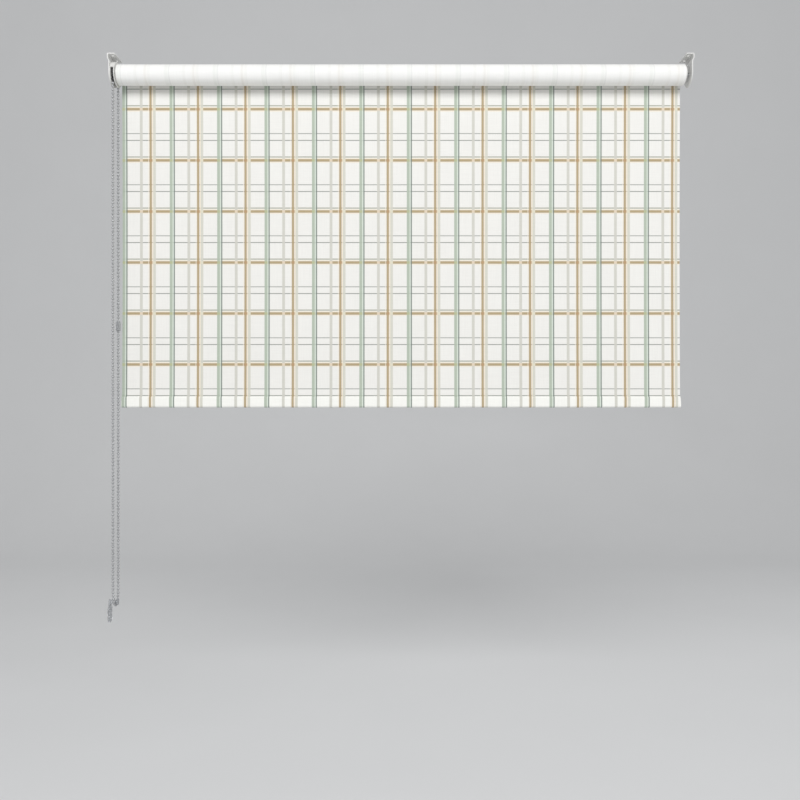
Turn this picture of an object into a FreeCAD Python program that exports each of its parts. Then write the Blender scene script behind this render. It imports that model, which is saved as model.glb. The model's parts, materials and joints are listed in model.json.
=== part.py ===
import FreeCAD, Part
import math
import os
import re
import Sketcher

# Chain-operated roller blind, fixed to the ceiling of a window recess.
# +X runs along the roll from the chain end to the idle end, +Y points at the window
# and +Z is up. The origin is the middle of the ceiling plane that the brackets screw to.
# The cloth comes off the window side of the roll and hangs half way down.

doc = FreeCAD.newDocument("roller_blind")

# ---------------------------------------------------------------- driving dimensions, mm

SIZES = {
    "overall_width": 990,
    "bracket_gauge": 1.6,
    "bracket_joggle": 2.4,
    "joggle_start": 8,
    "joggle_finish": 12.5,
    "bend_radius": 1.8,
    "edge_round": 0.3,
    "rim_round": 0.5,
    "flange_reach": 13,
    "fixing_hole": 4.4,
    "fixing_pitch": 22,
    "fixing_inset": 7,
    "axis_drop": 30,
    "nose_radius": 20.8,
    "guard_outer": 1.4,
    "slot_width": 5,
    "guard_inner": 1.2,
    "hood_wall": 2.2,
    "hood_half_angle": 70,
    "lug_height": 8,
    "lug_depth": 2.4,
    "lug_radius": 12,
    "run_gap": 0.3,
    "bearing_gap": 0.06,
    "core_radius": 5,
    "bead_size": 4.5,
    "bead_pitch": 6,
    "pocket_count": 14,
    "sleeve_radius": 8.6,
    "sleeve_bore": 6.7,
    "sleeve_length": 24,
    "sleeve_gap": 6.8,
    "wire": 1,
    "coil_pitch": 1.1,
    "coil_turns": 6.9,
    "coil_spacing": 10.5,
    "tang_reach": 8,
    "crown_flange": 1.2,
    "crown_flange_radius": 17,
    "crown_wall": 2.5,
    "key_width": 2,
    "clip_thick": 0.8,
    "clip_radius": 6.5,
    "clip_groove_radius": 4.2,
    "tube_radius": 14,
    "tube_wall": 1,
    "channel_width": 5,
    "channel_depth": 2.4,
    "channel_mouth": 3.2,
    "strip_clearance": 0.15,
    "fabric_width": 964.6,
    "fabric_gauge": 0.45,
    "roll_radius": 17.3,
    "hem_drop": 598,
    "hem_seam": 1.6,
    "bar_height": 18.6,
    "bar_thick": 5.8,
    "bar_wall": 1,
    "cap_flange": 1.2,
    "cap_plug": 14,
    "plug_flange": 2,
    "plug_flange_radius": 14.4,
    "plug_length": 30,
    "plug_rear_wall": 3,
    "cavity_radius": 5.2,
    "bush_radius": 5,
    "bush_length": 6,
    "pin_radius": 3,
    "pin_proud": 1.2,
    "pin_collar": 1.7,
    "pin_collar_radius": 4.8,
    "pin_tail_radius": 1.8,
    "idle_wire": 0.8,
    "idle_turns": 7,
    "idle_coil_radius": 3.3,
    "wall_gap": 3,
    "plate_gauge": 2.5,
    "plate_upper_radius": 9,
    "plate_lower_radius": 8.5,
    "plate_upper_drop": 943.5,
    "plate_hole_pitch": 12.5,
    "plate_hole": 4,
    "hook_radius": 3.1,
    "hook_drop": 929.6,
    "hook_lip_radius": 5.6,
    "hook_lip": 1.8,
    "connector_drop": 458,
    "connector_length": 16,
    "connector_radius": 3.9,
}

sheet = doc.addObject("Spreadsheet::Sheet", "Sizes")
for row, (alias, number) in enumerate(SIZES.items(), start=1):
    sheet.set(f"A{row}", alias)
    sheet.set(f"B{row}", str(number))
    sheet.setAlias(f"B{row}", alias)
doc.recompute()

# Stations along X, as expressions of the sizes above.
CONTROL_PLATE = "(bracket_joggle - overall_width / 2)"
GUARD = f"({CONTROL_PLATE} + bracket_gauge)"
SLOT = f"({GUARD} + guard_outer)"
CHAIN_PLANE = f"({SLOT} + slot_width / 2)"
GUARD_INNER = f"({SLOT} + slot_width)"
CROWN = f"({GUARD_INNER} + guard_inner + run_gap)"
TUBE = f"({CROWN} + crown_flange)"
FABRIC = f"({TUBE} + run_gap)"
FABRIC_END = f"({FABRIC} + fabric_width)"
TUBE_END = f"({FABRIC_END} + 2 * run_gap)"
IDLE_PLATE = "(overall_width / 2 - bracket_joggle)"
WALL = "(0 - overall_width / 2 - wall_gap)"

# Other derived sizes.
CHAIN_RADIUS = "(bead_pitch * pocket_count / 2 / pi)"
WHEEL = f"({CHAIN_PLANE} - bead_size / 2)"
SHEET_FRONT = "(roll_radius + run_gap)"
SHEET_MIDDLE = f"({SHEET_FRONT} + fabric_gauge / 2)"
HEM_HALF = "(bar_height / 2 + fabric_gauge + 0.1)"
HEM_TOP = f"(hem_drop - 2 * {HEM_HALF} - hem_seam)"

ALONG_X = FreeCAD.Rotation(FreeCAD.Vector(0, 1, 0), 90)
UPRIGHT = FreeCAD.Rotation()


def linked(text):
    """An expression with each alias given its sheet's name."""
    return re.sub(
        r"[a-z][a-z_]*",
        lambda word: f"Sizes.{word.group()}" if word.group() in SIZES else word.group(),
        text,
    )


def value(text):
    return float(sheet.evalExpression(linked(text)))


def bind(item, **expressions):
    for name, text in expressions.items():
        item.setExpression(name, linked(text))
    return item


def put(item, x="0", y="0", z="0", turn=UPRIGHT):
    """Place an object at bound coordinates."""
    item.Placement = FreeCAD.Placement(FreeCAD.Vector(), turn)
    for letter, text in zip("xyz", (x, y, z)):
        item.setExpression(f"Placement.Base.{letter}", linked(text))
    return item


def disc(name, start, length, radius, y="0", z="0"):
    """A cylinder along X, from the station start."""
    item = doc.addObject("Part::Cylinder", name)
    bind(item, Radius=radius, Height=length)
    return put(item, start, y, z, ALONG_X)


def block(name, low, size):
    """A box from its lowest corner."""
    item = doc.addObject("Part::Box", name)
    bind(item, Length=size[0], Width=size[1], Height=size[2])
    return put(item, *low)


def fuse(name, items):
    item = doc.addObject("Part::MultiFuse", name)
    item.Shapes = items
    return item


def cut(name, base, tools):
    item = doc.addObject("Part::Cut", name)
    item.Base = base
    item.Tool = tools[0] if len(tools) == 1 else fuse(f"{name}_tools", tools)
    return item


def circles_at(shape, stations, radius):
    """The numbers of a shape's round edges of one radius that lie at the given X stations."""
    return [
        number for number, edge in enumerate(shape.Edges, start=1)
        if isinstance(edge.Curve, Part.Circle) and abs(edge.Curve.Radius - radius) < 1e-4
        and any(abs(edge.Curve.Center.x - station) < 1e-4 for station in stations)
    ]


def rounded(name, base, stations, radius):
    """Round the rims that lie at the given stations along X."""
    doc.recompute()
    numbers = circles_at(base.Shape, [value(text) for text in stations], value(radius))
    if not numbers:
        raise RuntimeError(f"{name} has no such rim")
    item = doc.addObject("Part::Fillet", name)
    item.Base = base
    item.Edges = [(number, SIZES["rim_round"], SIZES["rim_round"]) for number in numbers]
    return item


def on_axis(item):
    """Move a piece modelled about the X axis to the roll's axis."""
    return bind(item, **{"Placement.Base.z": "0 - axis_drop"})


# ---------------------------------------------------------------- sketches and bodies

def new_body(name):
    return doc.addObject("PartDesign::Body", f"{name}_body")


def sketch_on(body, role, name):
    sketch = body.newObject("Sketcher::SketchObject", name)
    plane = next(item for item in body.Origin.OriginFeatures if item.Role == role)
    sketch.AttachmentSupport = [(plane, "")]
    sketch.MapMode = "FlatFace"
    return sketch


def pin_point(sketch, edge, end, x, y):
    """Hold one point of a sketch at bound coordinates."""
    for kind, text in (("DistanceX", x), ("DistanceY", y)):
        constraint = Sketcher.Constraint(kind, -1, 1, edge, end, value(text))
        index = sketch.addConstraint(constraint)
        sketch.setExpression(f"Constraints[{index}]", linked(text))


def outline(sketch, corners):
    """A closed polygon whose corners are bound coordinates."""
    spots = [FreeCAD.Vector(value(x), value(y), 0) for x, y in corners]
    first = sketch.GeometryCount
    count = len(spots)
    for index in range(count):
        line = Part.LineSegment(spots[index], spots[(index + 1) % count])
        sketch.addGeometry(line)
    for index in range(count):
        following = first + (index + 1) % count
        sketch.addConstraint(
            Sketcher.Constraint("Coincident", first + index, 2, following, 1)
        )
    for index, (x, y) in enumerate(corners):
        pin_point(sketch, first + index, 1, x, y)


def circle(sketch, x, y, radius):
    centre = FreeCAD.Vector(value(x), value(y), 0)
    edge = sketch.addGeometry(
        Part.Circle(centre, FreeCAD.Vector(0, 0, 1), value(radius))
    )
    pin_point(sketch, edge, 3, x, y)
    index = sketch.addConstraint(Sketcher.Constraint("Radius", edge, value(radius)))
    sketch.setExpression(f"Constraints[{index}]", linked(radius))


def oval(sketch, half_height, half_thick):
    """An upright slot shape about the sketch's origin: two straights and two half circles."""
    reach = f"({half_height} - {half_thick})"
    radius = value(half_thick)
    top = value(reach)
    up = FreeCAD.Vector(0, 0, 1)
    ends = ((top, 0, math.pi), (-top, math.pi, 2 * math.pi))
    arcs = []
    for height, start, finish in ends:
        full = Part.Circle(FreeCAD.Vector(0, height, 0), up, radius)
        arcs.append(sketch.addGeometry(Part.ArcOfCircle(full, start, finish)))
    for side, first_end, second_end in ((1, 1, 2), (-1, 2, 1)):
        low = FreeCAD.Vector(side * radius, -top, 0)
        high = FreeCAD.Vector(side * radius, top, 0)
        line = sketch.addGeometry(Part.LineSegment(low, high))
        sketch.addConstraint(Sketcher.Constraint("Tangent", line, 2, arcs[0], first_end))
        sketch.addConstraint(Sketcher.Constraint("Tangent", line, 1, arcs[1], second_end))
    pin_point(sketch, arcs[0], 3, "0", reach)
    pin_point(sketch, arcs[1], 3, "0", f"0 - {reach}")
    index = sketch.addConstraint(Sketcher.Constraint("Radius", arcs[0], radius))
    sketch.setExpression(f"Constraints[{index}]", linked(half_thick))


def pad(body, sketch, length, middle=False):
    feature = body.newObject("PartDesign::Pad", f"{sketch.Name}_pad")
    feature.Profile = sketch
    feature.Midplane = middle
    bind(feature, Length=length)
    sketch.Visibility = False
    doc.recompute()
    return feature


def pocket_through(body, sketch):
    """Cut a sketch through the whole body, both ways."""
    before = body.Shape.Volume
    feature = body.newObject("PartDesign::Pocket", f"{sketch.Name}_pocket")
    feature.Profile = sketch
    feature.Type = "ThroughAll"
    feature.Midplane = True
    doc.recompute()
    if not body.Shape.Volume < before:
        raise RuntimeError(f"{feature.Name} cuts nothing")
    return feature


def edges_where(shape, test):
    return [f"Edge{n}" for n, edge in enumerate(shape.Edges, start=1) if test(edge)]


# ---------------------------------------------------------------- brackets

def bracket(name, side):
    """A bent plate: ceiling flange, joggle, side plate with a half-round nose."""
    body = new_body(name)
    outer = f"({side} * overall_width / 2)"
    shift = f"({side} * bracket_joggle)"
    gauge = f"({side} * bracket_gauge)"
    foot = "(axis_drop + nose_radius)"
    section = sketch_on(body, "XZ_Plane", f"{name}_section")
    outline(section, [
        (outer, "0"),
        (outer, "0 - joggle_start"),
        (f"{outer} - {shift}", "0 - joggle_finish"),
        (f"{outer} - {shift}", f"0 - {foot}"),
        (f"{outer} - {shift} - {gauge}", f"0 - {foot}"),
        (f"{outer} - {shift} - {gauge}", "0 - joggle_finish"),
        (f"{outer} - {gauge}", "0 - joggle_start"),
        (f"{outer} - {gauge}", "0 - bracket_gauge"),
        (f"{outer} - {side} * flange_reach", "0 - bracket_gauge"),
        (f"{outer} - {side} * flange_reach", "0"),
    ])
    plate = pad(body, section, "2 * nose_radius", middle=True)
    corner = abs(value(outer))
    bend = body.newObject("PartDesign::Fillet", f"{name}_bend")
    bend.Base = (plate, edges_where(
        plate.Shape,
        lambda edge: all(abs(p.Point.z) < 1e-6 and abs(abs(p.Point.x) - corner) < 1e-6
                         for p in edge.Vertexes),
    ))
    bind(bend, Radius="bend_radius")
    doc.recompute()
    nose = sketch_on(body, "YZ_Plane", f"{name}_nose")
    nose_waste(nose)
    shaped = pocket_through(body, nose)
    eased = body.newObject("PartDesign::Fillet", f"{name}_eased")
    eased.Base = (shaped, [])
    eased.UseAllEdges = True
    bind(eased, Radius="edge_round")
    doc.recompute()
    holes = sketch_on(body, "XY_Plane", f"{name}_holes")
    for direction in (-1, 1):
        circle(holes, f"{outer} - {side} * fixing_inset",
               f"{direction} * fixing_pitch / 2", "fixing_hole / 2")
    pocket_through(body, holes)
    return body


def nose_waste(sketch):
    """What is cut away below the axis to leave the plate's half-round nose."""
    centre = FreeCAD.Vector(0, value("0 - axis_drop"), 0)
    radius = value("nose_radius")
    full = Part.Circle(centre, FreeCAD.Vector(0, 0, 1), radius)
    arc = sketch.addGeometry(Part.ArcOfCircle(full, math.pi, 2 * math.pi))
    outside = "(nose_radius + 1)"
    below = "(0 - axis_drop - nose_radius - 1)"
    corners = [
        ("nose_radius", "0 - axis_drop"),
        (outside, "0 - axis_drop"),
        (outside, below),
        (f"0 - {outside}", below),
        (f"0 - {outside}", "0 - axis_drop"),
        ("0 - nose_radius", "0 - axis_drop"),
    ]
    spots = [FreeCAD.Vector(value(x), value(y), 0) for x, y in corners]
    lines = [sketch.addGeometry(Part.LineSegment(a, b)) for a, b in zip(spots, spots[1:])]
    for first, second in zip(lines, lines[1:]):
        sketch.addConstraint(Sketcher.Constraint("Coincident", first, 2, second, 1))
    for line, (x, y) in zip(lines, corners):
        pin_point(sketch, line, 1, x, y)
    pin_point(sketch, lines[-1], 2, *corners[-1])
    sketch.addConstraint(Sketcher.Constraint("Coincident", lines[-1], 2, arc, 1))
    sketch.addConstraint(Sketcher.Constraint("Coincident", lines[0], 1, arc, 2))
    index = sketch.addConstraint(Sketcher.Constraint("DistanceY", -1, 1, arc, 3, centre.y))
    sketch.setExpression(f"Constraints[{index}]", linked("0 - axis_drop"))


def control_bracket():
    """The chain-end bracket: windows for the guard's lugs and a hole for the core."""
    body = bracket("control_bracket", -1)
    windows = sketch_on(body, "YZ_Plane", "lug_windows")
    half = "(lug_height / 2 + 0.1)"
    for direction in (-1, 1):
        inner = f"({direction} * (lug_radius - 0.1) - axis_drop)"
        outer = f"({direction} * (lug_radius + lug_depth + 0.1) - axis_drop)"
        outline(windows, [(f"0 - {half}", inner), (half, inner),
                          (half, outer), (f"0 - {half}", outer)])
    circle(windows, "0", "0 - axis_drop", "core_radius + 0.1")
    pocket_through(body, windows)
    return body


def idle_bracket():
    """The idle-end bracket: a hole that the sprung pin snaps into."""
    body = bracket("idle_bracket", 1)
    hole = sketch_on(body, "YZ_Plane", "pin_hole")
    circle(hole, "0", "0 - axis_drop", "pin_radius + 0.2")
    pocket_through(body, hole)
    return body


# ---------------------------------------------------------------- clutch, about the X axis

def chain_guard():
    """Two round flanges each side of the chain slot, joined by a hood over the top."""
    outer = disc("guard_outer_flange", GUARD, "guard_outer", "nose_radius")
    inner = disc("guard_inner_flange", GUARD_INNER, "guard_inner", "nose_radius")
    length = "guard_outer + slot_width + guard_inner"
    hood = doc.addObject("Part::Cylinder", "guard_hood")
    bind(hood, Radius="nose_radius", Height=length, Angle="2 * hood_half_angle")
    put(hood, GUARD, turn=ALONG_X.multiply(
        FreeCAD.Rotation(FreeCAD.Vector(0, 0, 1), 180 - SIZES["hood_half_angle"])))
    inside = disc("guard_inside", f"{GUARD} - 1", f"{length} + 2", "nose_radius - hood_wall")
    shell = cut("guard_hood_shell", hood, [inside])
    lugs = [
        block(f"guard_lug_{word}",
              (CONTROL_PLATE, "0 - lug_height / 2", low),
              ("bracket_gauge + guard_outer / 2", "lug_height", "lug_depth"))
        for word, low in (("upper", "lug_radius"), ("lower", "0 - lug_radius - lug_depth"))
    ]
    solid = fuse("guard_solid", [outer, inner, shell] + lugs)
    bores = [
        disc("guard_core_hole", f"{CONTROL_PLATE} - 1", "bracket_gauge + guard_outer + 1.5",
             "core_radius + 0.02"),
        disc("guard_sleeve_hole", f"{GUARD_INNER} - 1", "guard_inner + 2",
             "sleeve_radius + run_gap"),
    ]
    shell = cut("chain_guard_shell", solid, bores)
    return on_axis(rounded("chain_guard_solid", shell,
                           (GUARD, f"{GUARD_INNER} + guard_inner"), "nose_radius"))


CLIP = f"({WHEEL} + bead_size + sleeve_length + 2 * run_gap + crown_wall + run_gap)"


def clutch_core():
    """The fixed spindle, with a groove for the circlip near its free end."""
    length = f"{CLIP} + clip_thick + 1.6 - {CONTROL_PLATE}"
    spindle = disc("core_spindle", CONTROL_PLATE, length, "core_radius")
    ring = disc("core_groove_ring", f"{CLIP} - 0.05", "clip_thick + 0.1", "core_radius + 1")
    neck = disc("core_groove_neck", f"{CLIP} - 1", "clip_thick + 2", "clip_groove_radius")
    groove = cut("core_groove", ring, [neck])
    return on_axis(cut("clutch_core_solid", spindle, [groove]))


def clutch_circlip():
    """A flat open ring in the core's groove, outside the crown's end wall."""
    ring = disc("clip_ring", CLIP, "clip_thick", "clip_radius")
    bore = disc("clip_bore", f"{CLIP} - 1", "clip_thick + 2", "clip_groove_radius + 0.05")
    mouth = block("clip_mouth", (f"{CLIP} - 1", "0 - 2", "0 - clip_radius - 1"),
                  ("clip_thick + 2", "4", "clip_radius + 1"))
    return on_axis(cut("clutch_circlip_solid", ring, [bore, mouth]))


def sprocket():
    """The chain wheel: a groove that clears the beads, a seat for each, a slotted sleeve."""
    wheel = disc("wheel_disc", WHEEL, "bead_size", f"{CHAIN_RADIUS} - 0.75")
    sleeve = disc("wheel_sleeve", f"{WHEEL} + bead_size / 2",
                  "sleeve_length + bead_size / 2", "sleeve_radius")
    solid = fuse("wheel_solid", [wheel, sleeve])
    groove = doc.addObject("Part::Torus", "wheel_groove")
    bind(groove, Radius1=CHAIN_RADIUS, Radius2="bead_size / 2 + 0.1")
    put(groove, CHAIN_PLANE, turn=ALONG_X)
    seats = []
    for number in range(SIZES["pocket_count"]):
        angle = f"({number} * 360 deg / pocket_count)"
        seat = doc.addObject("Part::Sphere", f"bead_seat_{number}")
        bind(seat, Radius="bead_size / 2 + 0.15")
        put(seat, CHAIN_PLANE, f"({CHAIN_RADIUS} - 0.35) * cos({angle})",
            f"({CHAIN_RADIUS} - 0.35) * sin({angle})")
        seats.append(seat)
    bearing = disc("wheel_bearing", f"{WHEEL} - 1", "bead_size + 2",
                   "core_radius + bearing_gap")
    chamber = disc("spring_chamber", f"{WHEEL} + bead_size + 0.8", "sleeve_length + 1",
                   "sleeve_bore")
    window = block("sleeve_window",
                   (f"{WHEEL} + bead_size + 0.8", "0", "0 - sleeve_gap / 2"),
                   ("sleeve_length + 1", "sleeve_radius + 1", "sleeve_gap"))
    return on_axis(cut("sprocket_solid", solid, [groove, bearing, chamber, window] + seats))


def brake_springs():
    """Two wrap springs side by side on the core, their tangs in the sleeve's window."""
    coil_radius = "(core_radius + run_gap + wire / 2)"
    tilt = math.degrees(math.asin(1.8 / value(coil_radius)))
    springs = []
    for number in (0, 1):
        start = f"({WHEEL} + bead_size + 2.2 + {number} * coil_spacing)"
        spine = doc.addObject("Part::Helix", f"coil_line_{number}")
        spine.SegmentLength = 1
        bind(spine, Pitch="coil_pitch", Height="coil_pitch * coil_turns", Radius=coil_radius)
        ring = doc.addObject("Part::Circle", f"coil_section_{number}")
        bind(ring, Radius="wire / 2")
        put(ring, coil_radius, turn=FreeCAD.Rotation(FreeCAD.Vector(1, 0, 0), 90))
        coil = doc.addObject("Part::Sweep", f"coil_{number}")
        coil.Sections = [ring]
        coil.Spine = (spine, [])
        coil.Solid = True
        coil.Frenet = True
        tangs = []
        for word, angle, height in (("near", 0, "0"), ("far", -2 * tilt,
                                                       "coil_pitch * coil_turns")):
            tang = doc.addObject("Part::Cylinder", f"tang_{word}_{number}")
            bind(tang, Radius="wire / 2 - 0.02", Height=f"tang_reach - {coil_radius}")
            spot = FreeCAD.Rotation(FreeCAD.Vector(0, 0, 1), angle)
            put(tang, f"{coil_radius} * cos({angle} deg)",
                f"{coil_radius} * sin({angle} deg)", height, spot.multiply(ALONG_X))
            tangs.append(tang)
        spring = fuse(f"spring_{number}", [coil] + tangs)
        # the coil's axis turns to X, and its two tangs straddle the +Y direction
        put(spring, start, turn=FreeCAD.Rotation(
            FreeCAD.Vector(1, 0, 0), 90 + tilt).multiply(ALONG_X))
        springs.append(spring)
    group = doc.addObject("Part::Compound", "brake_springs_pair")
    group.Links = springs
    return on_axis(group)


def keyway(name):
    """The slot that lets a plug pass the tube's inner channel box."""
    width = "(channel_width + 2 * tube_wall + 0.4)"
    low = "(tube_radius - tube_wall - channel_depth - 0.6)"
    return block(f"{name}_slot", ("0 - overall_width / 2", f"0 - {width} / 2", low),
                 ("overall_width", width, "tube_radius"))


def drive_crown():
    """The driven hub: a flange outside the tube and a keyed barrel inside it."""
    flange = disc("crown_rim", CROWN, "crown_flange", "crown_flange_radius")
    barrel_start = f"({CROWN} + crown_flange)"
    barrel_end = f"({CLIP} - run_gap)"
    barrel = disc("crown_barrel", barrel_start, f"{barrel_end} - {barrel_start}",
                  "tube_radius - tube_wall - 0.05")
    slotted = cut("crown_barrel_slotted", barrel, [keyway("crown")])
    solid = fuse("crown_solid", [flange, slotted])
    chamber_end = f"({barrel_end} - crown_wall)"
    chamber = disc("crown_chamber", f"{CROWN} - 1", f"{chamber_end} - {CROWN} + 1",
                   "sleeve_radius + run_gap")
    bearing = disc("crown_bearing", f"{CROWN} - 1", f"{barrel_end} - {CROWN} + 2",
                   "core_radius + bearing_gap")
    hollow = cut("crown_hollow", solid, [chamber, bearing])
    key = block("crown_key",
                (f"{WHEEL} + bead_size + 3", "tang_reach - 0.8", "0 - key_width / 2"),
                (f"{chamber_end} - {WHEEL} - bead_size - 2.8", "2", "key_width"))
    hub = fuse("crown_hub", [hollow, key])
    return on_axis(rounded("drive_crown_solid", hub, (CROWN, f"{CROWN} + crown_flange"),
                           "crown_flange_radius"))


# ---------------------------------------------------------------- tube and cloth

def roller_tube():
    """An extruded tube with an inward channel that holds the cloth."""
    body = new_body("roller_tube")
    ring = sketch_on(body, "YZ_Plane", "tube_section")
    circle(ring, "0", "0", "tube_radius")
    circle(ring, "0", "0", "tube_radius - tube_wall")
    length = f"{TUBE_END} - {TUBE}"
    pad(body, ring, length)
    box = sketch_on(body, "YZ_Plane", "channel_box")
    half = "(channel_width / 2 + tube_wall)"
    floor = "(tube_radius - tube_wall - channel_depth - 0.4)"
    shoulder = "(tube_radius - tube_wall / 2 - 0.4)"
    outline(box, [(f"0 - {half}", floor), (half, floor),
                  (half, shoulder), (f"0 - {half}", shoulder)])
    pad(body, box, length)
    channel = sketch_on(body, "YZ_Plane", "channel")
    trough = "(tube_radius - tube_wall - channel_depth + 0.4)"
    lip = "(tube_radius - tube_wall + 0.2)"
    over = "(tube_radius + 1)"
    outline(channel, [
        ("0 - channel_width / 2", trough), ("channel_width / 2", trough),
        ("channel_width / 2", lip), ("channel_mouth / 2", lip),
        ("channel_mouth / 2", over), ("0 - channel_mouth / 2", over),
        ("0 - channel_mouth / 2", lip), ("0 - channel_width / 2", lip),
    ])
    pocket_through(body, channel)
    return put(body, TUBE, "0", "0 - axis_drop")


def fabric_strip():
    """The flexible spline that wedges the end of the cloth in the tube's channel."""
    trough = "(tube_radius - tube_wall - channel_depth + 0.4)"
    width = "(channel_width - 2 * strip_clearance)"
    return block("strip_solid", (FABRIC, f"0 - {width} / 2", f"{trough} + 0.1 - axis_drop"),
                 ("fabric_width", width, "channel_depth - 0.8"))


def fabric_roll():
    """The wound cloth, as one thick sleeve on the tube."""
    outer = disc("roll_outside", FABRIC, "fabric_width", "roll_radius")
    inner = disc("roll_inside", f"{FABRIC} - 1", "fabric_width + 2", "tube_radius + 0.02")
    return on_axis(cut("fabric_roll_solid", outer, [inner]))


def fabric_drop():
    """The hanging cloth, from the roll's window side down to the hem."""
    return block("hanging_cloth", (FABRIC, SHEET_FRONT, f"0 - {HEM_TOP}"),
                 ("fabric_width", "fabric_gauge", f"{HEM_TOP} - axis_drop"))


def hem_pocket():
    """The flat sleeve of cloth round the bar, and the welded seam above it."""
    body = new_body("hem_pocket")
    sleeve = sketch_on(body, "YZ_Plane", "hem_sleeve")
    oval(sleeve, HEM_HALF, "(bar_thick / 2 + fabric_gauge + 0.1)")
    pad(body, sleeve, "fabric_width")
    seam = sketch_on(body, "YZ_Plane", "hem_seam_section")
    top = f"({HEM_HALF} + hem_seam)"
    outline(seam, [("0 - fabric_gauge", f"{HEM_HALF} - 1"), ("fabric_gauge", f"{HEM_HALF} - 1"),
                   ("fabric_gauge", top), ("0 - fabric_gauge", top)])
    pad(body, seam, "fabric_width")
    hollow = sketch_on(body, "YZ_Plane", "hem_hollow")
    oval(hollow, "(bar_height / 2 + 0.1)", "(bar_thick / 2 + 0.1)")
    pocket_through(body, hollow)
    return put(body, FABRIC, SHEET_MIDDLE, f"{HEM_HALF} - hem_drop")


def bottom_bar():
    """A flat oval tube between the two end caps."""
    body = new_body("bottom_bar")
    section = sketch_on(body, "YZ_Plane", "bar_section")
    oval(section, "(bar_height / 2)", "(bar_thick / 2)")
    oval(section, "(bar_height / 2 - bar_wall)", "(bar_thick / 2 - bar_wall)")
    pad(body, section, "fabric_width - 2 * cap_flange")
    return put(body, f"{FABRIC} + cap_flange", SHEET_MIDDLE, f"{HEM_HALF} - hem_drop")


def bar_cap(name, station, side):
    """A moulded cap: an oval flange, and a thinner oval that plugs the bar."""
    body = new_body(name)
    flange = sketch_on(body, "YZ_Plane", f"{name}_flange")
    oval(flange, "(bar_height / 2)", "(bar_thick / 2)")
    face = pad(body, flange, "cap_flange")
    face.Reversed = side < 0
    plug = sketch_on(body, "YZ_Plane", f"{name}_plug")
    oval(plug, "(bar_height / 2 - bar_wall - 0.05)", "(bar_thick / 2 - bar_wall - 0.05)")
    stem = pad(body, plug, "cap_plug")
    stem.Reversed = side > 0
    doc.recompute()
    return put(body, station, SHEET_MIDDLE, f"{HEM_HALF} - hem_drop")


# ---------------------------------------------------------------- idle end

FLANGE_FACE = f"({TUBE_END} + plug_flange)"
REAR = f"({TUBE_END} - plug_length)"
BUSH = f"({FLANGE_FACE} - bush_length)"
COLLAR = f"({BUSH} - run_gap - pin_collar)"


def idle_plug():
    """A keyed plug in the tube's end, hollow for the sprung pin."""
    flange = disc("plug_rim", TUBE_END, "plug_flange", "plug_flange_radius")
    barrel = disc("plug_barrel", REAR, "plug_length", "tube_radius - tube_wall - 0.05")
    slotted = cut("plug_barrel_slotted", barrel, [keyway("plug")])
    solid = fuse("plug_solid", [flange, slotted])
    cavity = disc("plug_cavity", f"{REAR} + plug_rear_wall",
                  f"{BUSH} - {REAR} - plug_rear_wall", "cavity_radius")
    mouth = disc("plug_mouth", f"{BUSH} - 1", "bush_length + 2", "bush_radius + 0.02")
    tail = disc("plug_tail_hole", f"{REAR} - 1", "plug_rear_wall + 2",
                "pin_tail_radius + run_gap")
    plug = cut("plug_bored", solid, [cavity, mouth, tail])
    return on_axis(rounded("idle_plug_solid", plug, (FLANGE_FACE,), "plug_flange_radius"))


def idle_bush():
    """The bearing that the pin turns and slides in."""
    sleeve = disc("bush_sleeve", BUSH, "bush_length", "bush_radius")
    bore = disc("bush_bore", f"{BUSH} - 1", "bush_length + 2", "pin_radius + bearing_gap")
    return on_axis(cut("idle_bush_solid", sleeve, [bore]))


def idle_pin():
    """The stub shaft: a nose for the bracket, a collar for the spring and a guide tail."""
    tip = f"({IDLE_PLATE} + pin_proud)"
    nose = disc("pin_nose", COLLAR, f"{tip} - {COLLAR}", "pin_radius")
    collar = disc("pin_collar_ring", COLLAR, "pin_collar", "pin_collar_radius")
    tail = disc("pin_tail", f"{REAR} - 2", f"{COLLAR} - {REAR} + 3", "pin_tail_radius")
    solid = fuse("pin_solid", [nose, collar, tail])
    doc.recompute()
    rim = doc.addObject("Part::Chamfer", "idle_pin_solid")
    rim.Base = solid
    station = value(tip)
    numbers = [n for n, edge in enumerate(solid.Shape.Edges, start=1)
               if all(abs(p.Point.x - station) < 1e-6 for p in edge.Vertexes)]
    rim.Edges = [(n, 0.6, 0.6) for n in numbers]
    return on_axis(rim)


def idle_spring():
    """The compression spring between the plug's rear wall and the pin's collar."""
    start = f"({REAR} + plug_rear_wall + run_gap + idle_wire / 2)"
    height = f"({COLLAR} - run_gap - idle_wire / 2 - {start})"
    spine = doc.addObject("Part::Helix", "idle_coil_line")
    spine.SegmentLength = 1
    bind(spine, Pitch=f"{height} / idle_turns", Height=height, Radius="idle_coil_radius")
    ring = doc.addObject("Part::Circle", "idle_coil_section")
    bind(ring, Radius="idle_wire / 2")
    put(ring, "idle_coil_radius", turn=FreeCAD.Rotation(FreeCAD.Vector(1, 0, 0), 90))
    coil = doc.addObject("Part::Sweep", "idle_coil")
    coil.Sections = [ring]
    coil.Spine = (spine, [])
    coil.Solid = True
    coil.Frenet = True
    return put(coil, start, "0", "0 - axis_drop", ALONG_X)


# ---------------------------------------------------------------- bead chain

# The chain's loop outside the guard, as (y, z) in the chain's plane: it leaves the guard's
# front mouth, runs straight down, closes in round the hook and runs up to the back mouth.
CHAIN_ROUTE = [
    (-13.37, -46),
    (-13.37, -919),
    (-3.6, -935.6),
    (3.6, -935.6),
    (13.37, -925),
    (13.37, -46),
]
CHAIN_MOUTH = "(46 - axis_drop)"


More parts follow.
